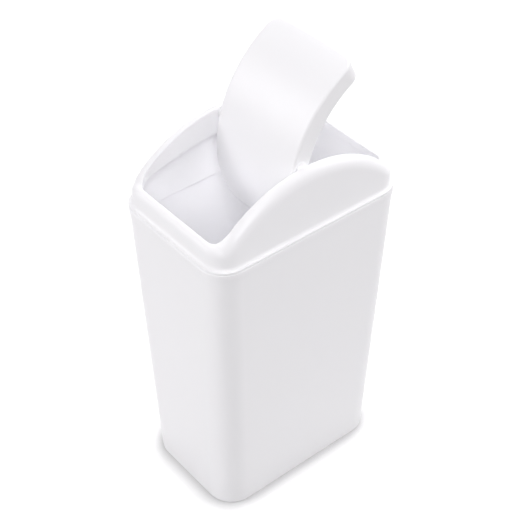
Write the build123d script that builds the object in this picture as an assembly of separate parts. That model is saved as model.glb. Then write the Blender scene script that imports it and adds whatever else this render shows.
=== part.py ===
from build123d import *

import math
import os

# Countertop bin with a swing lid: a tapered bin, a lid frame that lies on its rim, and a flap that
# swings in the frame's mouth on two stub pins moulded with it.
# Millimetres. +X is the bin's length, +Y its width, +Z is up. The origin is the middle of the base.

# Bin
bin_height = 189.0
base_length = 116.8
base_width = 76.2
base_corner_radius = 16.4
rim_length = 129.2
rim_width = 88.6
rim_corner_radius = 15.4
rim_band_height = 4.0
rim_band_proud = 0.3
rim_band_radius = 0.2
bin_wall = 1.8
bin_floor = 2.2
base_edge_radius = 2.0
rim_edge_radius = 0.45
floor_corner_radius = 3.0
foot_ring_width = 6.0
foot_recess = 1.0

# Lid frame: the lip that lies on the bin's rim, and the plug that reaches into the bin
lip_height = 1.8
lip_edge_radius = 0.6
lip_seam_radius = 0.35
lip_flare_radius = 1.1
plug_depth = 10.0
plug_clearance = 0.3
plug_wall = 1.6

# Lid frame: the dome on the lip, low at the short ends and arched along the long sides
dome_inset = 2.1
dome_wall = 1.9
dome_roll_radius = 5.0
arch_height = 37.7
arch_end_inset = 8.1
end_height = 13.5
end_blend_radius = 2.5

# Lid frame: the mouth, the flange turned down round it, and the sockets for the flap's pins
mouth_end_inset = 6.7
mouth_side_inset = 9.7
mouth_corner_radius = 8.5
mouth_edge_radius = 0.7
flange_wall = 1.6
flange_end_depth = 4.1
flange_middle_depth = 16.0
socket_radius = 4.4
socket_length = 2.8

# Flap: an arched panel with a skirt square to it, and a shouldered pin on each long side
flap_radius = 73.0
flap_end_gap = 0.45
flap_side_gap = 3.6
flap_wall = 1.6
flap_corner_radius = 7.5
flap_end_bow = 0.9
flap_edge_radius = 1.5
skirt_depth = 10.7
pivot_below_arch = 3.2
pivot_below_flap = 5.2
shoulder_radius = 2.8
shoulder_clearance = 0.3
pin_radius = 1.8
pin_clearance = 0.08
pin_end_gap = 0.4

# The flap is shown part way open, its +X end swung up from closed by this angle
shown_angle = 75.5

# How far a cutting shape runs past what it cuts
overrun = 5.0

# Where the pieces meet
band_bottom = bin_height - rim_band_height
lip_top = bin_height + lip_height
arch_top = bin_height + arch_height
end_top = bin_height + end_height
plug_bottom = bin_height - plug_depth
mouth_half_length = rim_length / 2 - mouth_end_inset
mouth_half_width = rim_width / 2 - mouth_side_inset
pivot_level = arch_top - pivot_below_arch
socket_reach = mouth_half_width + flange_wall + socket_length

# The closed flap's ends just clear the mouth's ends, seen from the pivot
flap_half_width = mouth_half_width - flap_side_gap
flap_reach = math.hypot(mouth_half_length - flap_end_gap, pivot_level - end_top)
arc_to_pivot = flap_radius - pivot_below_flap
flap_end_cosine = (flap_radius**2 + arc_to_pivot**2 - flap_reach**2) / (2 * flap_radius * arc_to_pivot)
flap_half_angle = math.acos(flap_end_cosine)


def bin_section(height, inset):
    """The bin's rounded outline at a height, below or behind its rim band, drawn in by an inset."""
    share = height / bin_height
    length = base_length + (rim_length - 2 * rim_band_proud - base_length) * share
    width = base_width + (rim_width - 2 * rim_band_proud - base_width) * share
    radius = base_corner_radius + (rim_corner_radius - rim_band_proud - base_corner_radius) * share
    outline = RectangleRounded(length - 2 * inset, width - 2 * inset, radius - inset)
    return Pos(0, 0, height) * outline


def make_bin_body():
    """The open tapered shell with a band round its rim, standing on a shallow ring."""
    outside = loft([bin_section(0, 0), bin_section(band_bottom, 0)], ruled=True)
    outside = fillet(outside.edges().group_by(Axis.Z)[0], base_edge_radius)
    band = rim_prism(0, band_bottom, bin_height)
    band = fillet(band.edges().group_by(Axis.Z)[0], rim_band_radius)
    band = fillet(band.edges().group_by(Axis.Z)[-1], rim_edge_radius)
    inside = loft([bin_section(bin_floor, bin_wall), bin_section(bin_height, bin_wall)], ruled=True)
    inside = fillet(inside.edges().group_by(Axis.Z)[0], floor_corner_radius)
    recess = extrude(bin_section(0, foot_ring_width), foot_recess)
    return outside + band - inside - recess


def rim_prism(inset, low, high):
    """An upright prism on the rim's outline, drawn in by an inset, between two levels."""
    length = rim_length - 2 * inset
    width = rim_width - 2 * inset
    outline = RectangleRounded(length, width, rim_corner_radius - inset)
    return Pos(0, 0, low) * extrude(outline, high - low)


def mouth_prism(grow):
    """An upright prism on the mouth's outline, grown by a margin, right through the lid."""
    length = 2 * (mouth_half_length + grow)
    width = 2 * (mouth_half_width + grow)
    outline = RectangleRounded(length, width, mouth_corner_radius + grow)
    return Pos(0, 0, plug_bottom) * extrude(outline, arch_top + overrun - plug_bottom)


def under_arch(drop):
    """All the space below the dome's top, with that top lowered by a drop."""
    half_chord = rim_length / 2 - arch_end_inset
    arch_rise = arch_top - end_top
    radius = (half_chord**2 + arch_rise**2) / (2 * arch_rise)
    centre = arch_top - radius
    end = end_top - drop
    chord = math.sqrt((radius - drop) ** 2 - (end - centre) ** 2)
    far = rim_length
    arch = ThreePointArc((-chord, end), (0, arch_top - drop), (chord, end))
    below = Polyline((chord, end), (far, end), (far, 0), (-far, 0), (-far, end), (-chord, end))
    profile = make_face(arch + below)
    blends = profile.vertices().filter_by(lambda v: abs(abs(v.X) - chord) < 0.01)
    profile = fillet(blends, end_blend_radius)
    return extrude(Plane.XZ * profile, rim_width, both=True)


def dome(inset, drop, low):
    """The dome as a full solid from a level up, drawn in and lowered, with its top edges rolled."""
    prism = rim_prism(inset, low, arch_top)
    space = under_arch(drop)
    block = prism & space
    return fillet(new_edges(prism, space, combined=block), dome_roll_radius - drop)


def under_flange():
    """The space below the flange, whose lower edge is an arc flatter than the dome's."""
    middle = arch_top - flange_middle_depth
    rise = middle - (end_top - flange_end_depth)
    radius = (mouth_half_length**2 + rise**2) / (2 * rise)
    return Pos(0, 0, middle - radius) * Cylinder(radius, 2 * rim_width, rotation=(90, 0, 0))


def cross_rod(radius, half_length):
    """A rod along the pivot, the same length either side of the middle."""
    return Pos(0, 0, pivot_level) * Cylinder(radius, 2 * half_length, rotation=(90, 0, 0))


def make_lid_frame():
    """The lip, plug, dome, mouth flange and pin sockets, moulded in one."""
    lip = rim_prism(0, bin_height, lip_top)
    lip = fillet(lip.edges().group_by(Axis.Z)[-1], lip_edge_radius)
    lip = fillet(lip.edges().group_by(Axis.Z)[0], lip_seam_radius)
    hood = dome(dome_inset, 0, bin_height)
    solid_lid = lip + hood
    seam = new_edges(lip, hood, combined=solid_lid)
    solid_lid = fillet(seam, lip_flare_radius)

    mouth = mouth_prism(0)
    shell = solid_lid - mouth
    mouth_edges = new_edges(solid_lid, mouth, combined=shell)
    shell = fillet(mouth_edges.filter_by_position(Axis.Z, lip_top, arch_top), mouth_edge_radius)

    plug_outside = bin_wall + plug_clearance
    plug_inside = plug_outside + plug_wall
    plug = loft([bin_section(plug_bottom, plug_outside), bin_section(bin_height, plug_outside)], ruled=True)
    bore = loft([bin_section(plug_bottom, plug_inside), bin_section(bin_height, plug_inside)], ruled=True)
    throat = rim_prism(rim_band_proud + plug_inside, bin_height, lip_top)
    cavity = dome(dome_inset + dome_wall, dome_wall, lip_top)

    flange = (mouth_prism(flange_wall) & cavity) - under_flange()
    sockets = cross_rod(socket_radius, socket_reach) & cavity
    holes = cross_rod(pin_radius + pin_clearance, socket_reach)
    return shell - cavity - throat + (plug - bore) + (flange + sockets - mouth) - holes


def flap_point(radius, angle):
    """A point in the flap's side view, given about the centre of its arc."""
    return (radius * math.sin(angle), radius * math.cos(angle))


def flap_block(inset, depth):
    """The closed flap as a full block, drawn in all round, about the centre of its arc."""
    outer = flap_radius - inset
    inner = flap_radius - depth
    width = flap_half_width - inset
    half_angle = flap_half_angle - inset / flap_radius
    upper = ThreePointArc(flap_point(outer, -half_angle), (0, outer), flap_point(outer, half_angle))
    lower = ThreePointArc(flap_point(inner, -half_angle), (0, inner), flap_point(inner, half_angle))
    left = Line(flap_point(outer, -half_angle), flap_point(inner, -half_angle))
    right = Line(flap_point(outer, half_angle), flap_point(inner, half_angle))
    sector = extrude(Plane.XZ * make_face(upper + right + lower + left), width, both=True)

    bow_radius = (flap_half_width**2 + flap_end_bow**2) / (2 * flap_end_bow)
    for side in (-1, 1):
        bow = Pos(-side * bow_radius, 0, 0) * Cylinder(bow_radius - inset, 4 * flap_radius)
        sector = sector & (Rot(0, side * math.degrees(flap_half_angle), 0) * bow)

    corners = sector.edges().filter_by(GeomType.LINE).group_by(Axis.Y)
    return fillet(corners[0] + corners[-1], flap_corner_radius - inset)


def make_swing_flap():
    """The arched panel, open underneath, with a shouldered pin on each long side, as shown."""
    block = flap_block(0, skirt_depth)
    block = fillet(block.faces().sort_by(Axis.Z)[-1].edges(), flap_edge_radius)
    panel = Pos(0, 0, pivot_level - arc_to_pivot) * (block - flap_block(flap_wall, skirt_depth + overrun))
    shoulders = cross_rod(shoulder_radius, mouth_half_width - shoulder_clearance)
    pins = cross_rod(pin_radius, socket_reach - pin_end_gap)
    clear = Pos(0, 0, pivot_level) * Box(flap_reach, 2 * (flap_half_width - flap_wall), flap_reach)
    closed = panel + (shoulders + pins - clear)
    pivot = Axis((0, 0, pivot_level), (0, 1, 0))
    return closed.rotate(pivot, -shown_angle)


os.makedirs("parts", exist_ok=True)
export_step(make_bin_body(), "parts/bin_body.step")
export_step(make_lid_frame(), "parts/lid_frame.step")
export_step(make_swing_flap(), "parts/swing_flap.step")
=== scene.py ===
# %% [markdown]
# # A countertop bin with a swing lid
# The bin is three white mouldings: a tapered bin, an arched frame that lies on its rim, and a flap
# that swings in the frame's mouth. The CAD model fixes where each one is and how it moves, so this
# lesson starts by loading it. Everything after that is about what the eye sees: soft rolled edges,
# a fine seam, and satin plastic in soft light.

# %% Load the frame
import math

import bpy
import numpy as np
from mathutils import Matrix, Vector


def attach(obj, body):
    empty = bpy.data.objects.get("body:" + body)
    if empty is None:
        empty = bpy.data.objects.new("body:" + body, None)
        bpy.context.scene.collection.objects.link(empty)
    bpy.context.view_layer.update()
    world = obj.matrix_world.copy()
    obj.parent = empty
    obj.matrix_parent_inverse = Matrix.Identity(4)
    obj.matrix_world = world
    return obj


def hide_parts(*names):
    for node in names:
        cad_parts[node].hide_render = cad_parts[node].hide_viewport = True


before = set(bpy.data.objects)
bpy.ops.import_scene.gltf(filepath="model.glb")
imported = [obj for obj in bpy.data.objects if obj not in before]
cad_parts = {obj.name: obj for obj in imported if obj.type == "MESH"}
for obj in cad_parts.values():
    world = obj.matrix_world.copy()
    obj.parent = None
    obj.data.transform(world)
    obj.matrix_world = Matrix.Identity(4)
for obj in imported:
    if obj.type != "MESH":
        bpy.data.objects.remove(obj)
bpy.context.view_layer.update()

# %% [markdown]
# ## Sizes in millimetres
# A maker thinks of this bin in millimetres, and Blender works in metres. All the shapes below are
# worked out in millimetres and turned to metres once, when a mesh is made. The few sizes that
# several pieces share come first: the bin's base and rim, and where the flap turns.

# %% Shared sizes
METRE = 0.001

bin_height = 189.0
base_size = np.array([116.8, 76.2, 16.4])  # length, width, corner radius
rim_size = np.array([129.2, 88.6, 15.4])
bin_wall = 1.8
band_proud = 0.3  # of the bin's rim band, before the wall under it

arch_height = 37.7  # of the frame, above the bin's rim
end_height = 13.5
pivot_height = 34.5
pivot = np.array([0.0, 0.0, bin_height + pivot_height])
print("the flap turns about", pivot, "mm")

# %% [markdown]
# ## A rounded rectangle as one path
# Seen from above, every outline of this bin is a rounded rectangle. I could draw each one as a
# curve, but then no two would have matching points. Here a path is three arrays: how far along its
# straight sides each sample lies, in length and in width, and which way the outline faces there.
# Any length, width and corner radius then turn the same path into an outline, so outlines of
# different sizes line up sample by sample and can be joined by plain quads.

# %% Rounded path and ring
def eased(steps):
    """Shares from nought to one, closer together near both, from half a cosine wave."""
    return 0.5 - 0.5 * np.cos(np.linspace(0.0, math.pi, steps + 1))


def rounded_path(long_steps, short_steps, corner_steps):
    """Samples once round a rounded rectangle, anticlockwise. Each corner turns through a quarter
    circle in even steps while both shares stay at one or minus one, and along each side one share
    eases over from one to minus one, or back, while the facing stays."""
    quarter = np.linspace(0.0, math.pi / 2, corner_steps + 1)
    long_way, short_way = 1 - 2 * eased(long_steps)[1:-1], 1 - 2 * eased(short_steps)[1:-1]
    corner, long_side, short_side = np.ones_like(quarter), np.ones_like(long_way), np.ones_like(short_way)
    length_share = np.concatenate(
        [corner, long_way, -corner, -short_side, -corner, -long_way, corner, short_side])
    width_share = np.concatenate(
        [corner, long_side, corner, short_way, -corner, -long_side, -corner, -short_way])
    turned = [quarter, long_side * math.pi / 2, quarter + math.pi / 2, short_side * math.pi]
    facing = np.concatenate(turned + [part + math.pi for part in turned])
    return length_share, width_share, facing


def ring(path, length, width, radius):
    """The outline of a size: a side's share times the half size less the corner radius, plus the
    radius times the cosine or sine of the facing. Sizes may be arrays with one row per outline."""
    length_share, width_share, facing = path
    x = length_share * (length / 2 - radius) + radius * np.cos(facing)
    y = width_share * (width / 2 - radius) + radius * np.sin(facing)
    return x, y


outline = rounded_path(long_steps=72, short_steps=28, corner_steps=64)
print("samples round an outline:", outline[0].size)

# %% [markdown]
# ## From arrays to a mesh
# A shape is a grid of points: one row for each step of its section, one column for each sample of
# its path. The columns always close on themselves. The rows either close too, as on a frame, or
# end in two poles, as on a bowl that is shut at both ends. Several such shells can share one mesh,
# as a boss and a wall do in one moulding.

# %% Shell and piece
def shell(x, y, z, poles):
    """Points and quads of a grid. Each quad joins a point, its neighbour along the path, and the
    two beside them in the next row; with poles, all of the first row is one point, and so is all
    of the last. A third of each triangle's point times its area vector adds up to the signed
    volume, and the quads are turned over if that comes out negative, so they face outwards."""
    grid = np.stack(np.broadcast_arrays(x, y, z), axis=-1)
    points = grid.reshape(-1, 3)
    index = np.arange(len(points)).reshape(grid.shape[:2])
    if poles:
        index[0], index[-1] = index[0, 0], index[-1, 0]
        here, beyond = index[:-1], index[1:]
    else:
        here, beyond = index, np.roll(index, -1, axis=0)
    sides = [here, np.roll(here, -1, axis=1), np.roll(beyond, -1, axis=1), beyond]
    quads = np.stack(sides, axis=-1).reshape(-1, 4)
    a, b, c, d = np.moveaxis(points[quads], 1, 0)
    volume = (np.sum(a * np.cross(b, c)) + np.sum(a * np.cross(c, d))) / 6
    quads = quads if volume > 0 else quads[:, ::-1]
    used, renumbered = np.unique(quads, return_inverse=True)
    return points[used], renumbered.reshape(quads.shape), abs(volume)


def make_piece(name, shells):
    """One smooth object from shells in millimetres, at the origin and unturned. A quad with two
    corners in one point, beside a pole, becomes a triangle."""
    points, faces, offset = [], [], 0
    for shell_points, quads, _ in shells:
        quads = quads + offset
        first_double, last_double = quads[:, 0] == quads[:, 1], quads[:, 2] == quads[:, 3]
        faces += quads[~first_double & ~last_double].tolist()
        faces += quads[first_double][:, [0, 2, 3]].tolist() + quads[last_double][:, [0, 1, 2]].tolist()
        points.append(shell_points * METRE)
        offset += len(shell_points)
    mesh = bpy.data.meshes.new(name)
    mesh.from_pydata(np.concatenate(points).tolist(), [], faces)
    mesh.shade_smooth()
    piece = bpy.data.objects.new(name, mesh)
    bpy.context.scene.collection.objects.link(piece)
    volume = sum(part[2] for part in shells) / 1000
    print(name, "has", len(mesh.polygons), "faces and", round(volume, 1), "cm3 of plastic")
    return piece


# %% [markdown]
# ## Roundings in a section
# Moulded plastic has no sharp edge: each is at least a few tenths of a millimetre round, and the
# light that such an edge catches is what makes it look made. A section is drawn as a list of
# points, each an inset from the outer face and a level. Turns and straight runs are its only parts.

# %% Turns and runs
def turn(centre, radius, start, end, steps=6):
    """Points round a centre: inset and level are the centre's plus the radius times the cosine and
    sine of an angle that goes evenly from start to end, in degrees."""
    angle = np.radians(np.linspace(start, end, steps + 1))
    return np.stack([centre[0] + radius * np.cos(angle), centre[1] + radius * np.sin(angle)], axis=-1)


def run(start, end, steps):
    """Points strictly between two others, closer together near both, so that the shading of a
    rounding dies out within a millimetre or two of it."""
    return np.array(start) + eased(steps)[1:-1, None] * (np.array(end) - np.array(start))


# %% [markdown]
# ## The bin
# The bin is injection moulded, so it tapers: the rim is some 12 mm longer and wider than the base,
# and it would not leave its mould otherwise. It stands on a narrow ring, with the floor lifted a
# millimetre inside it. A band round the rim stands a little proud of the wall and stiffens it, and
# its lower edge is the second fine line under the lid. One section, carried round the outline from
# the middle of the underside to the middle of the floor inside, gives the whole shell with its wall.

# %% Make the bin
base_edge = 1.1
floor_level = 2.2
floor_corner = 3.0
foot_width = 6.0
foot_recess = 1.0
foot_edge = 0.3
rim_edge = 0.45
rim_inner_edge = 0.4
band_height = 4.0
band_edge = 0.2
band_hollow = 0.1  # radius of the corner between the wall and the band's underside
wall_rim_size = rim_size - (2 * band_proud, 2 * band_proud, band_proud)
taper = (wall_rim_size[0] - base_size[0]) / 2 / bin_height


def bin_size(level):
    """Length, width and corner radius of the wall at a level: a straight mix of the base's and the
    rim's, which is the band's less what the band stands proud."""
    share = np.asarray(level)[..., None] / bin_height
    return np.moveaxis(base_size + share * (wall_rim_size - base_size), -1, 0)


def banded(points):
    """Points on the band, given by inset and level from its upright face, as insets from the
    wall's own slanting face: less the proud part, and less the taper times the depth below."""
    less = band_proud + taper * (bin_height - points[:, 1])
    return points - np.stack([less, np.zeros_like(less)], axis=-1)


band_bottom = bin_height - band_height
towards_middle = np.array([0.0, 0.3, 0.6, 0.85, 0.97])  # shares of the outline, under and inside
floor_rows = len(towards_middle)
section = np.concatenate([
    np.tile((foot_width + foot_edge, foot_recess), (floor_rows, 1)),
    turn((foot_width + foot_edge, foot_recess - foot_edge), foot_edge, 90, 180, 4),
    turn((foot_width - foot_edge, foot_edge), foot_edge, 0, -90, 4),
    turn((base_edge, base_edge), base_edge, -90, -180, 10),
    run((0, base_edge), (0, band_bottom - band_hollow), 24),
    turn((-band_hollow, band_bottom - band_hollow), band_hollow, 0, 90, 3),
    banded(turn((band_edge, band_bottom + band_edge), band_edge, 270, 180, 4)),
    banded(turn((rim_edge, bin_height - rim_edge), rim_edge, 180, 90, 5)),
    turn((bin_wall - rim_inner_edge, bin_height - rim_inner_edge), rim_inner_edge, 90, 0, 4),
    run((bin_wall, bin_height - rim_inner_edge), (bin_wall, floor_level + floor_corner), 24),
    turn((bin_wall + floor_corner, floor_level + floor_corner), floor_corner, 180, 270, 8),
    np.tile((bin_wall + floor_corner, floor_level), (floor_rows, 1)),
])
shrink = np.concatenate([towards_middle, np.ones(len(section) - 2 * floor_rows), towards_middle[::-1]])
inset, level = section[:, :1], section[:, 1:]
length, width, radius = bin_size(section[:, 1])[..., None]
x, y = ring(outline, length - 2 * inset, width - 2 * inset, radius - inset)
bin_piece = make_piece("bin", [shell(x * shrink[:, None], y * shrink[:, None], level, poles=True)])

# %% [markdown]
# ## The frame's roof line
# Seen from its long side, the frame is low at both ends and rises to an arch between them. The
# arch is part of one circle, and a small round valley joins it to each low end. The height of the
# roof is a function of the place along the bin alone, and so is its slope.

# %% Roof line
half_chord = 56.5
valley = 2.5
arch_radius = (half_chord**2 + (arch_height - end_height) ** 2) / (2 * (arch_height - end_height))
arch_centre = arch_height - arch_radius
valley_x = math.sqrt((arch_radius + valley) ** 2 - (end_height + valley - arch_centre) ** 2)
valley_start = valley_x * arch_radius / (arch_radius + valley)


def roof(x):
    """Height above the rim: on the arch, its centre plus the root of radius squared less x
    squared; in the valley, its own centre less the same root of its own circle; else the end's."""
    x = np.abs(x)
    arch = arch_centre + np.sqrt(np.maximum(arch_radius**2 - x**2, 0))
    dip = end_height + valley - np.sqrt(np.maximum(valley**2 - (valley_x - x) ** 2, 0))
    return np.where(x < valley_start, arch, np.where(x < valley_x, dip, end_height))


def smoothstep(low, high, value):
    """Nought below one edge, one above the other, and three t squared less two t cubed between."""
    t = np.clip((value - low) / (high - low), 0, 1)
    return t * t * (3 - 2 * t)


print("arch radius", round(arch_radius, 1), "mm")
print("valley from", round(valley_start, 2), "to", round(valley_x, 2), "mm off the middle")

# %% [markdown]
# ## The frame seen from above
# The dome's edge rolls over from the wall to the roof, tightly at the short ends and more freely
# along the arches. A roll is a quarter circle, but where the roof climbs along the wall a ball
# that touches both sits lower, so the roll is stretched downwards by the slope. Past the roll the
# roof runs on to the mouth. All of it lies on lines from the wall's outline to the mouth's.

# %% Plan outlines of the frame
dome_inset = 2.1
dome_wall = 1.9
mouth_size = np.array([115.8, 69.2, 8.5])
mouth_edge = 0.7
flange_wall = 1.6
end_roll = 4.4
side_roll = 6.4
least_shelf = 0.1  # of level roof between the roll and the mouth's own edge
slope_ends = 51.0, 59.5  # off the middle: the arch's slope dies out as the wall turns the corner


def lid_line(inset):
    """The rim's outline, drawn in by an inset."""
    return np.stack(ring(outline, *(rim_size - (2 * inset, 2 * inset, inset))), axis=-1)


def mouth_line(grow):
    """The mouth's outline, grown by a margin."""
    return np.stack(ring(outline, *(mouth_size + (2 * grow, 2 * grow, grow))), axis=-1)


wall_plan, mouth_plan = lid_line(dome_inset), mouth_line(0)
span = np.linalg.norm(mouth_plan - wall_plan, axis=-1)
inwards = (mouth_plan - wall_plan) / span[:, None]
side_share = np.sin(outline[2]) ** 2
roll = np.minimum(end_roll + (side_roll - end_roll) * side_share, span - mouth_edge - least_shelf)
off_middle = np.abs(wall_plan[:, 0])
wall_x = np.minimum(off_middle, half_chord)
slope = wall_x / np.sqrt(arch_radius**2 - wall_x**2) * (1 - smoothstep(*slope_ends, off_middle))
stretch = np.sqrt(1 + slope**2 * side_share)
print("roll from", round(roll.min(), 2), "to", round(roll.max(), 2), "mm")
print("stretched up to", round(stretch.max(), 2), "times")

# %% [markdown]
# ## The frame's outer skin
# The skin starts under the lip, where a fine rounding leaves the seam over the bin's rim, and
# passes over the lip. A small flare leads up into the dome's wall, which leans in by two degrees so
# that it leaves its mould. Then it rolls over the dome's edge and ends at the mouth. Rows of points
# are worked out from a plan outline and levels over it.

# %% Rows of the outer skin
def rows_at(plan, levels):
    """Rows over a plan outline: each has the outline's places and its own level or levels."""
    levels = np.asarray(levels) + np.zeros(len(outline[0]))
    plan = np.broadcast_to(plan, (*levels.shape, 2))
    return np.concatenate([plan, levels[..., None]], axis=-1)


def roof_rows(inward, drop):
    """Rows that lie inward of the wall, a drop below the roof over each of their points."""
    plan = wall_plan + (inward * np.ones_like(span))[..., None] * inwards
    return rows_at(plan, roof(plan[..., 0]) - drop)


def arc(start, end, steps):
    """A column of angles in radians, evenly from start to end in degrees."""
    return np.radians(np.linspace(start, end, steps + 1))[:, None]


flare, flare_height = 1.45, 1.8  # of a quarter ellipse, from the lip's top to the dome's wall
lip_height = 1.8
lip_edge = 0.5
lip_seam = 0.35
draft = math.tan(math.radians(2.0))
flare_section = turn((0.0, 0.0), 1.0, -90, 0, 8) * (flare, flare_height)
lip_section = np.concatenate([
    turn((lip_seam, lip_seam), lip_seam, -90, -180, 4),
    turn((lip_edge, lip_height - lip_edge), lip_edge, 180, 90, 5),
    flare_section + (dome_inset - flare, lip_height + flare_height),
])
wall_foot = lip_height + flare_height
wall_top = roof(wall_plan[:, 0]) - roll * stretch
wall_levels = wall_foot + eased(12)[1:-1, None] * (wall_top - wall_foot)
rolled, edge = arc(0, 90, 14), arc(0, 90, 5)
shelf = span - mouth_edge - roll
shelf_shares = np.array([[0.15], [0.4], [0.65], [0.9]])
lean = draft * (wall_top - wall_foot)
outer_skin = np.concatenate([
    np.concatenate([rows_at(lid_line(inset), [[level]]) for inset, level in lip_section]),
    rows_at(wall_plan + (draft * (wall_levels - wall_foot))[..., None] * inwards, wall_levels),
    roof_rows(lean + (roll - lean) * (1 - np.cos(rolled)), roll * stretch * (1 - np.sin(rolled))),
    roof_rows(roll + shelf_shares * shelf, 0),
    roof_rows(span - mouth_edge * (1 - np.sin(edge)), mouth_edge * (1 - np.cos(edge))),
])
print("outer skin:", outer_skin.shape[0], "rows of", outer_skin.shape[1], "points")

# %% [markdown]
# ## The frame's hidden side
# Turned over, the frame shows the back of the flange, the hollow under the roof and the plug that
# drops into the bin. The flange's lower edge is an arc flatter than the roof's, so the flange is
# deepest in the middle. The back is seen only when the frame is lifted, but it gives the walls
# their true thickness, and light gets in behind the flange as on the real one.

# %% Rows of the hidden side, and the frame
plug_depth = 10.0
plug_outside = 2.1
plug_edge = 0.5
plug_shoulder = 0.2  # radius where the plug's outside meets the rim's level
flange_middle = 21.7  # height of its lower edge above the rim, in the middle
flange_rise = 12.3  # of that edge, from the mouth's ends to the middle
flange_radius = ((mouth_size[0] / 2) ** 2 + flange_rise**2) / (2 * flange_rise)
toe_height = 0.4  # of the rounding along that edge
cavity_inset = dome_inset + dome_wall
plug_inside = cavity_inset - band_proud
back_plan, cavity_plan = mouth_line(flange_wall), lid_line(cavity_inset)
gap = np.linalg.norm(cavity_plan - back_plan, axis=-1)
least_inner_roll = 0.5
most_of_gap = 0.8  # that the roll inside may take up
inner_roll = np.minimum(np.maximum(roll - dome_wall, least_inner_roll), most_of_gap * gap)


def flange_edge(x):
    """Height of the flange's lower edge above the rim, an arc through three points: its middle,
    less its radius, plus the root of radius squared less x squared."""
    return flange_middle - flange_radius + np.sqrt(flange_radius**2 - x**2)


flange_top, flange_low = roof(mouth_plan[:, 0]) - mouth_edge, flange_edge(mouth_plan[:, 0]) + toe_height
toe = arc(0, 180, 8)
toe_plan = mouth_plan + (0.5 - 0.5 * np.cos(toe))[..., None] * (back_plan - mouth_plan)
back_low, back_top = flange_edge(back_plan[:, 0]) + toe_height, roof(back_plan[:, 0]) - dome_wall
bend = arc(90, 0, 7)
bend_plan = cavity_plan + (inner_roll * (1 - np.cos(bend)) / gap)[..., None] * (back_plan - cavity_plan)
bend_levels = roof(bend_plan[..., 0]) - dome_wall - inner_roll * stretch * (1 - np.sin(bend))


def plug_rows(section):
    """Rows on the bin's own tapered outline, for insets and levels measured from the rim."""
    rows = []
    for inset, level in section:
        size = bin_size(bin_height + level) - (2 * inset, 2 * inset, inset)
        rows.append(rows_at(np.stack(ring(outline, *size), axis=-1), [[level]]))
    return np.concatenate(rows)


plug_top = -0.5  # where the hollow's wall meets the plug's inside
plug_low = -plug_depth + plug_edge
plug_section = np.concatenate([
    [(plug_inside, plug_top)],
    run((plug_inside, plug_top), (plug_inside, plug_low), 5),
    turn((plug_inside - plug_edge, plug_low), plug_edge, 0, -90, 4),
    turn((plug_outside + plug_edge, plug_low), plug_edge, -90, -180, 4),
    run((plug_outside, plug_low), (plug_outside, -plug_shoulder), 5),
    turn((plug_outside - plug_shoulder, -plug_shoulder), plug_shoulder, 0, 90, 3),
])
middle = np.array([[0.1], [0.35], [0.65], [0.9]])  # shares of a wall's height for its inner rows
frame_rows = np.concatenate([
    outer_skin,
    rows_at(mouth_plan, flange_top + middle * (flange_low - flange_top)),
    rows_at(toe_plan, flange_edge(toe_plan[..., 0]) + toe_height * (1 - np.sin(toe))),
    rows_at(back_plan, back_low + middle * (back_top - back_low)),
    rows_at(back_plan, back_top[None]),
    rows_at(bend_plan, bend_levels),
    rows_at(cavity_plan, bend_levels[-1] * (1 - middle)),
    plug_rows(plug_section),
])
frame_shell = shell(frame_rows[..., 0], frame_rows[..., 1], frame_rows[..., 2] + bin_height, poles=False)
print("frame shell:", round(frame_shell[2] / 1000, 1), "cm3")

# %% [markdown]
# ## Sockets behind the flange
# Each pin of the flap turns in a short boss behind the flange. A boss is a turned shape: a section
# of radii and places along the pin's axis, carried round a circle. Both bosses are drawn
# a millimetre lower than the pins, so that they stay under the roof. They show only from below.

# %% Turned shapes and the frame's piece
def turned(section, steps=48):
    """A closed shape about the pivot's axis: sideways and upwards are the radius times the cosine
    and sine of an angle that goes once round, and the place along the axis comes as it is."""
    angle = np.arange(steps) * 2 * math.pi / steps
    radii, places = section[:, :1], section[:, 1:]
    return radii * np.cos(angle), places + 0 * angle, radii * np.sin(angle)


flange_back = mouth_size[1] / 2 + flange_wall
socket_length = 2.8
socket_radius = 3.1
socket_edge = 0.3
socket_drop = 1.0
bore_radius = 1.88
bore_floor = flange_back + 0.3
socket_root = flange_back - 1.0  # inside the flange, which it joins
socket_end = flange_back + socket_length
socket_section = np.concatenate([
    [(0.0, socket_root), (socket_radius, socket_root), (socket_radius, flange_back)],
    turn((socket_radius - socket_edge, socket_end - socket_edge), socket_edge, 0, 90, 3),
    turn((bore_radius + socket_edge, socket_end - socket_edge), socket_edge, 90, 180, 3),
    [(bore_radius, bore_floor), (0.0, bore_floor)],
])
sockets = []
for side in (-1, 1):
    x, y, z = turned(socket_section)
    sockets.append(shell(x, side * y, z + pivot[2] - socket_drop, poles=True))
frame_piece = make_piece("frame", [frame_shell, *sockets])

# %% [markdown]
# ## The flap
# The flap is a shallow arched tray, open underneath, with a skirt that stands square to its face.
# It is easiest to draw flat and then bend: on the flat it is a rounded rectangle whose ends bow
# out a little, with a depth below the face, and bending puts each point on a circle. The circle's
# radius comes from the flap's outline in the photograph, from its tip down to the frame.

# %% Make the flap, closed
flap_radius = 73.0
flap_half_width = 31.0
flap_half_angle = math.radians(51.315)
flap_corner = 7.5
flap_bow = 0.9
flap_wall = 1.6
flap_edge = 1.5
flap_inner_edge = 0.8
skirt_edge = 0.4
skirt_depth = 10.7
pivot_below_flap = 5.2

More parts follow.
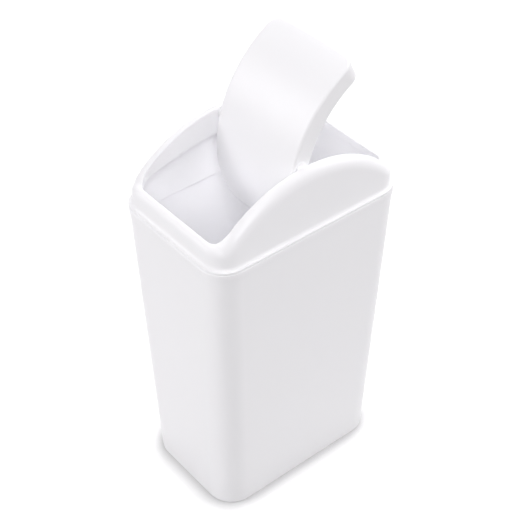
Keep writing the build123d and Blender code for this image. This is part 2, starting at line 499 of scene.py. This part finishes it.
flap_half_length = flap_radius * flap_half_angle
flap_path = rounded_path(long_steps=96, short_steps=32, corner_steps=20)
fill_rows = 24  # over the face and under it, so that the bend is fine everywhere
skirt_end = skirt_depth - skirt_edge
inner_corner = flap_wall + flap_inner_edge
flap_section = np.concatenate([
    np.tile((flap_edge, 0.0), (fill_rows, 1)),
    turn((flap_edge, flap_edge), flap_edge, -90, -180, 8),
    run((0, flap_edge), (0, skirt_end), 8),
    turn((skirt_edge, skirt_end), skirt_edge, 180, 90, 4),
    turn((flap_wall - skirt_edge, skirt_end), skirt_edge, 90, 0, 4),
    run((flap_wall, skirt_end), (flap_wall, inner_corner), 8),
    turn((inner_corner, inner_corner), flap_inner_edge, 180, 270, 5),
    np.tile((inner_corner, flap_wall), (fill_rows, 1)),
])
fill = np.arange(fill_rows) / fill_rows
shrink = np.concatenate([fill, np.ones(len(flap_section) - 2 * fill_rows), fill[::-1]])


def bent(along, across, depth):
    """A point on the flat, bent about the flap's arc: the angle is the length along it over the
    radius of the face, and a point's own radius is that less its depth. Heights are above the
    pivot, which lies below the top of the closed flap."""
    angle = along / flap_radius
    return (flap_radius - depth) * np.sin(angle), across, (
        (flap_radius - depth) * np.cos(angle) - flap_radius + pivot_below_flap)


inset, depth = flap_section[:, :1], flap_section[:, 1:]
along, across = ring(
    flap_path, 2 * (flap_half_length - inset), 2 * (flap_half_width - inset), flap_corner - inset)
along, across = along * shrink[:, None], across * shrink[:, None]
along = along * (1 - flap_bow / flap_half_length * (across / flap_half_width) ** 2)
tray = bent(along, across, depth)

# %% [markdown]
# ## Pins on the flap
# A shouldered pin stands on each long side, moulded with the skirt. The shoulder keeps the flap in
# the middle of the mouth, and the thinner end turns in the frame's socket.

# %% Pins, and the flap as it is shown
shoulder_radius, pin_radius = 2.8, 1.8
shoulder_edge = 0.3
pin_edge = 0.4
foot_fillet = 0.6  # round the shoulder's foot on the skirt
shoulder_clearance, pin_end_gap = 0.3, 0.4
shoulder_end = mouth_size[1] / 2 - shoulder_clearance
pin_end = socket_end - pin_end_gap
pin_root = flap_half_width - 1.2  # inside the skirt, which it joins
pin_foot = flap_half_width - 0.1  # just inside the skirt's face
foot_radius = shoulder_radius + foot_fillet
pin_section = np.concatenate([
    [(0.0, pin_root), (foot_radius, pin_root), (foot_radius, pin_foot)],
    turn((foot_radius, flap_half_width + foot_fillet), foot_fillet, -90, -180, 4),
    turn((shoulder_radius - shoulder_edge, shoulder_end - shoulder_edge), shoulder_edge, 0, 90, 3),
    turn((pin_radius + shoulder_edge, shoulder_end + shoulder_edge), shoulder_edge, 270, 180, 3),
    turn((pin_radius - pin_edge, pin_end - pin_edge), pin_edge, 0, 90, 3),
    [(0.0, pin_end)],
])
shown_angle = math.radians(75.5)


def swung(x, y, z):
    """Turned about the pivot until the +X end is up by the shown angle, then set at the pivot."""
    cosine, sine = math.cos(shown_angle), math.sin(shown_angle)
    return cosine * x - sine * z, y, sine * x + cosine * z + pivot[2]


pins = []
for side in (-1, 1):
    x, y, z = turned(pin_section)
    pins.append(shell(*swung(x, side * y, z), poles=True))
flap_piece = make_piece("flap", [shell(*swung(*tray), poles=True), *pins])

# %% [markdown]
# ## Nodes and colours
# Blender's sockets take linear light, and a colour here is given as an sRGB hex value, so one function
# turns one into the other. One more adds a node with its settings and links, which keeps a material
# readable as a list of its nodes.

# %% Colour and node helpers
def linear(hex_colour):
    """Each channel over 255, then its share over 12.92 where it is dark, else the share plus
    0.055, over 1.055, to the power 2.4."""
    share = np.array([int(hex_colour[i:i + 2], 16) for i in (1, 3, 5)]) / 255
    channels = np.where(share <= 0.04045, share / 12.92, ((share + 0.055) / 1.055) ** 2.4)
    return (*channels.tolist(), 1.0)


def add_node(tree, kind, settings=None, **inputs):
    """Adds a node, sets its properties, and fills its sockets: a node's output is linked, and
    anything else is set as the socket's own value. A socket is named with _ for each space, or
    with _ and its number where a kind has several of one name."""
    node = tree.nodes.new(kind)
    for name, value in (settings or {}).items():
        setattr(node, name, value)
    for name, value in inputs.items():
        numbered = name[1:].isdigit()
        socket = node.inputs[int(name[1:]) if numbered else name.replace("_", " ")]
        if isinstance(value, bpy.types.NodeSocket):
            tree.links.new(value, socket)
        else:
            socket.default_value = value
    return node


# %% [markdown]
# ## White polypropylene
# Bins like this are injection moulded in polypropylene filled with titanium white. It is a waxy,
# satin white: the mould's fine spark-eroded grain breaks the highlight up, and a faint mottle comes
# from how the melt flowed. Light passes from wall to wall inside the bin many times, so the colour
# has to be very near full white for the inside to come out nearly as light as in the photograph.
# The real grain is about 0.15 mm and would vanish in a render, so it is drawn at 0.9 mm, much
# shallower. Standing and sliding on a table leaves the foot a little duller.

# %% Moulded plastic
mottle_size = 45 * METRE
grain_size = 0.9 * METRE  # drawn coarser than the real 0.15 mm
grain_depth = 0.06 * METRE
scuff_size = 6 * METRE
satin = 0.34  # the plastic's mean roughness
satin_spread = 0.04


def moulded_plastic(name, colour, scuffed=None):
    """A satin white plastic with mottle, grain and scuffs. A pattern's scale is one over its size
    in metres. scuffed is a low and a high level in metres, between which the scuffs die out."""
    material = bpy.data.materials.new(name)
    material.use_nodes = True
    tree = material.node_tree
    tree.nodes.clear()
    place = add_node(tree, "ShaderNodeTexCoord").outputs["Object"]
    mottle = add_node(
        tree, "ShaderNodeTexNoise", Vector=place, Scale=1 / mottle_size, Detail=2.0, Roughness=0.45)
    grain = add_node(tree, "ShaderNodeTexNoise", Vector=place, Scale=1 / grain_size, Detail=2.0)
    low, high = (linear(shade) for shade in colour)
    tint = add_node(
        tree, "ShaderNodeMix", {"data_type": "RGBA"}, _0=mottle.outputs["Fac"], _6=low, _7=high)
    sheen = add_node(
        tree, "ShaderNodeMapRange", Value=mottle.outputs["Fac"],
        From_Min=0.3, From_Max=0.7, To_Min=satin - satin_spread, To_Max=satin + satin_spread)
    rough = sheen.outputs["Result"]
    if scuffed:
        level = add_node(tree, "ShaderNodeSeparateXYZ", Vector=place).outputs["Z"]
        worn = add_node(
            tree, "ShaderNodeMapRange", Value=level,
            From_Min=scuffed[0], From_Max=scuffed[1], To_Min=1.0, To_Max=0.0)
        marks = add_node(
            tree, "ShaderNodeTexNoise", Vector=place, Scale=1 / scuff_size, Detail=4.0, Roughness=0.7)
        spots = add_node(
            tree, "ShaderNodeMapRange", Value=marks.outputs["Fac"],
            From_Min=0.5, From_Max=0.68, To_Min=0.0, To_Max=0.12)
        added = add_node(
            tree, "ShaderNodeMath", {"operation": "MULTIPLY_ADD"},
            _0=worn.outputs["Result"], _1=spots.outputs["Result"], _2=rough)
        rough = added.outputs[0]
    bump = add_node(
        tree, "ShaderNodeBump", Height=grain.outputs["Fac"], Strength=0.12, Distance=grain_depth)
    shader = add_node(
        tree, "ShaderNodeBsdfPrincipled", Base_Color=tint.outputs[2], Roughness=rough,
        Normal=bump.outputs["Normal"], IOR=1.49)
    add_node(tree, "ShaderNodeOutputMaterial", Surface=shader.outputs[0])
    return material


white = ("#FEFEFF", "#FFFFFF")
bin_plastic = moulded_plastic("bin_polypropylene", white, scuffed=(0.0, 20 * METRE))
frame_plastic = moulded_plastic("frame_polypropylene", white)
flap_plastic = moulded_plastic("flap_polypropylene", white)

# %% [markdown]
# ## Hand the pieces to the model
# Each new piece stands for one CAD node, which it hides, moves with that node's body, and takes its own
# material.

# %% Bodies and materials
for piece, node, body, material in (
    (bin_piece, "bin_body", "bin", bin_plastic),
    (frame_piece, "lid_frame", "lid", frame_plastic),
    (flap_piece, "swing_flap", "flap", flap_plastic),
):
    piece.data.materials.append(material)
    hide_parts(node)
    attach(piece, body)
    print(piece.name, "stands for", node)

# %% [markdown]
# ## Floor
# The bin stands on a table of pale grey card that runs out of the picture on all sides. The camera sees
# the table partly by its own light, so it comes out white all round. Near the bin's foot that own light
# is dimmed by how much sky the bin hides, which paints a soft shadow there on top of the card's real
# shadow. The light it throws back on the bin is the card's alone.

# %% Pale table
def seen_directly(tree):
    """One for a path from the camera, off gloss or through glass, and nought for one that lights
    the object: the largest of three outputs of Light Path."""
    path = add_node(tree, "ShaderNodeLightPath")
    seen = path.outputs["Is Camera Ray"]
    for kind in ("Is Glossy Ray", "Is Transmission Ray"):
        larger = add_node(
            tree, "ShaderNodeMath", {"operation": "MAXIMUM"}, _0=seen, _1=path.outputs[kind])
        seen = larger.outputs[0]
    return seen


shadow_reach = 11.5 * METRE
# glow at the bin's foot, inside the painted shadow, and out in the open
glow_in_painted_shadow, open_glow = 0.11, 0.66


def table_material():
    """Pale card, plus a glow that only shows directly. The glow follows the share of the sky that the bin
    leaves open within the shadow's reach, a half at its foot and one beyond, so it paints a shadow round
    the foot."""
    material = bpy.data.materials.new("pale_card")
    material.use_nodes = True
    tree = material.node_tree
    tree.nodes.clear()
    openness = add_node(tree, "ShaderNodeAmbientOcclusion", {"samples": 16}, Distance=shadow_reach)
    # the glow, dimmed towards the bin's foot: a painted shadow on the table
    painted_shadow_glow = add_node(
        tree, "ShaderNodeMapRange", Value=openness.outputs["AO"],
        From_Min=0.5, From_Max=1.0, To_Min=glow_in_painted_shadow, To_Max=open_glow)
    amount = add_node(
        tree, "ShaderNodeMath", {"operation": "MULTIPLY"},
        _0=seen_directly(tree), _1=painted_shadow_glow.outputs[0])
    card = add_node(tree, "ShaderNodeBsdfDiffuse", Color=linear("#C5C5C5"))
    glow = add_node(tree, "ShaderNodeEmission", Strength=amount.outputs[0])
    both = add_node(tree, "ShaderNodeAddShader", _0=card.outputs[0], _1=glow.outputs[0])
    add_node(tree, "ShaderNodeOutputMaterial", Surface=both.outputs[0])
    return material


half = 3.0  # of the table's side, in metres
corners = [(-half, -half, 0), (half, -half, 0), (half, half, 0), (-half, half, 0)]
table_mesh = bpy.data.meshes.new("table")
table_mesh.from_pydata(corners, [], [(0, 1, 2, 3)])
table_mesh.materials.append(table_material())
table = bpy.data.objects.new("table", table_mesh)
bpy.context.scene.collection.objects.link(table)

# %% [markdown]
# ## Light
# White things are photographed in a tent of white cloth with large soft lamps outside it. The
# world is the tent. Four lamps are far enough away to light the whole height of the bin alike, and
# each fills 35 to 50 degrees of sky, so shadows have no edge: the main one from beside the camera,
# which reaches down into the mouth, two off the raised end, in front and behind, and a low one from
# behind off the other end. Their light has the faint lilac that lies over the whole photograph.
# White plastic passes light on many times before it is lost, above all inside the bin, so paths may
# bounce often.

# %% Tent and lamps
world = bpy.data.worlds.new("tent")
bpy.context.scene.world = world
world.use_nodes = True
world.node_tree.nodes.clear()
tent_fill = 0.06  # how much the cloth itself lights the bin
tent_light = add_node(
    world.node_tree, "ShaderNodeMapRange", Value=seen_directly(world.node_tree),
    To_Min=tent_fill, To_Max=1.0)
tent = add_node(
    world.node_tree, "ShaderNodeBackground", Color=(1, 1, 1, 1), Strength=tent_light.outputs[0])
add_node(world.node_tree, "ShaderNodeOutputWorld", Surface=tent.outputs[0])
lamp_colour = (1.0, 0.984, 1.011)


def soft_lamp(name, azimuth, elevation, width, strength):
    """A distant lamp that fills a width of sky in degrees. Azimuth 0 is in front of the long side
    and 90 off the raised end; the way to the lamp is sine and minus cosine of it, times the
    elevation's cosine, and the elevation's sine."""
    turn_to, rise = math.radians(azimuth), math.radians(elevation)
    way = Vector((
        math.sin(turn_to) * math.cos(rise), -math.cos(turn_to) * math.cos(rise), math.sin(rise)))
    lamp = bpy.data.lights.new(name, "SUN")
    lamp.angle, lamp.energy, lamp.color = math.radians(width), strength, lamp_colour
    holder = bpy.data.objects.new(name, lamp)
    holder.rotation_euler = way.to_track_quat("Z", "Y").to_euler()
    bpy.context.scene.collection.objects.link(holder)


soft_lamp("main_lamp", azimuth=-30, elevation=44, width=35, strength=1.47)
soft_lamp("right_lamp", azimuth=60, elevation=40, width=40, strength=1.02)
soft_lamp("back_lamp", azimuth=120, elevation=42, width=50, strength=1.52)
soft_lamp("left_lamp", azimuth=-120, elevation=22, width=35, strength=1.31)
bpy.context.scene.cycles.max_bounces = 64
bpy.context.scene.cycles.diffuse_bounces = 64

# %% [markdown]
# ## Camera
# The photograph is taken with a long lens from above the bin's front corner. The camera's place,
# lens and slight tilt were found from the straight edges of the base, the rim and the lip. The
# focal length is known in the photograph's pixels, and the sensor's width turns it to millimetres.

# %% Camera
photo_width = 522  # pixels
focal_length = 1300.5  # pixels
sensor_width = 36.0
camera_data = bpy.data.cameras.new("camera")
camera_data.sensor_width = sensor_width
camera_data.lens = focal_length / photo_width * sensor_width
camera_data.clip_start, camera_data.clip_end = 0.05, 20.0
camera = bpy.data.objects.new("camera", camera_data)
azimuth, elevation, tilt = math.radians(-39.297), math.radians(40.58), math.radians(-0.118)
back = Vector((
    math.sin(azimuth) * math.cos(elevation),
    -math.cos(azimuth) * math.cos(elevation),
    math.sin(elevation)))
camera.location = Vector((-354.96, -432.50, 619.34)) * METRE
upright = (-back).to_track_quat("-Z", "Y").to_matrix()
camera.rotation_euler = (Matrix.Rotation(tilt, 3, back) @ upright).to_euler()
bpy.context.scene.collection.objects.link(camera)
bpy.context.scene.camera = camera
bpy.context.scene.view_settings.view_transform = "Standard"
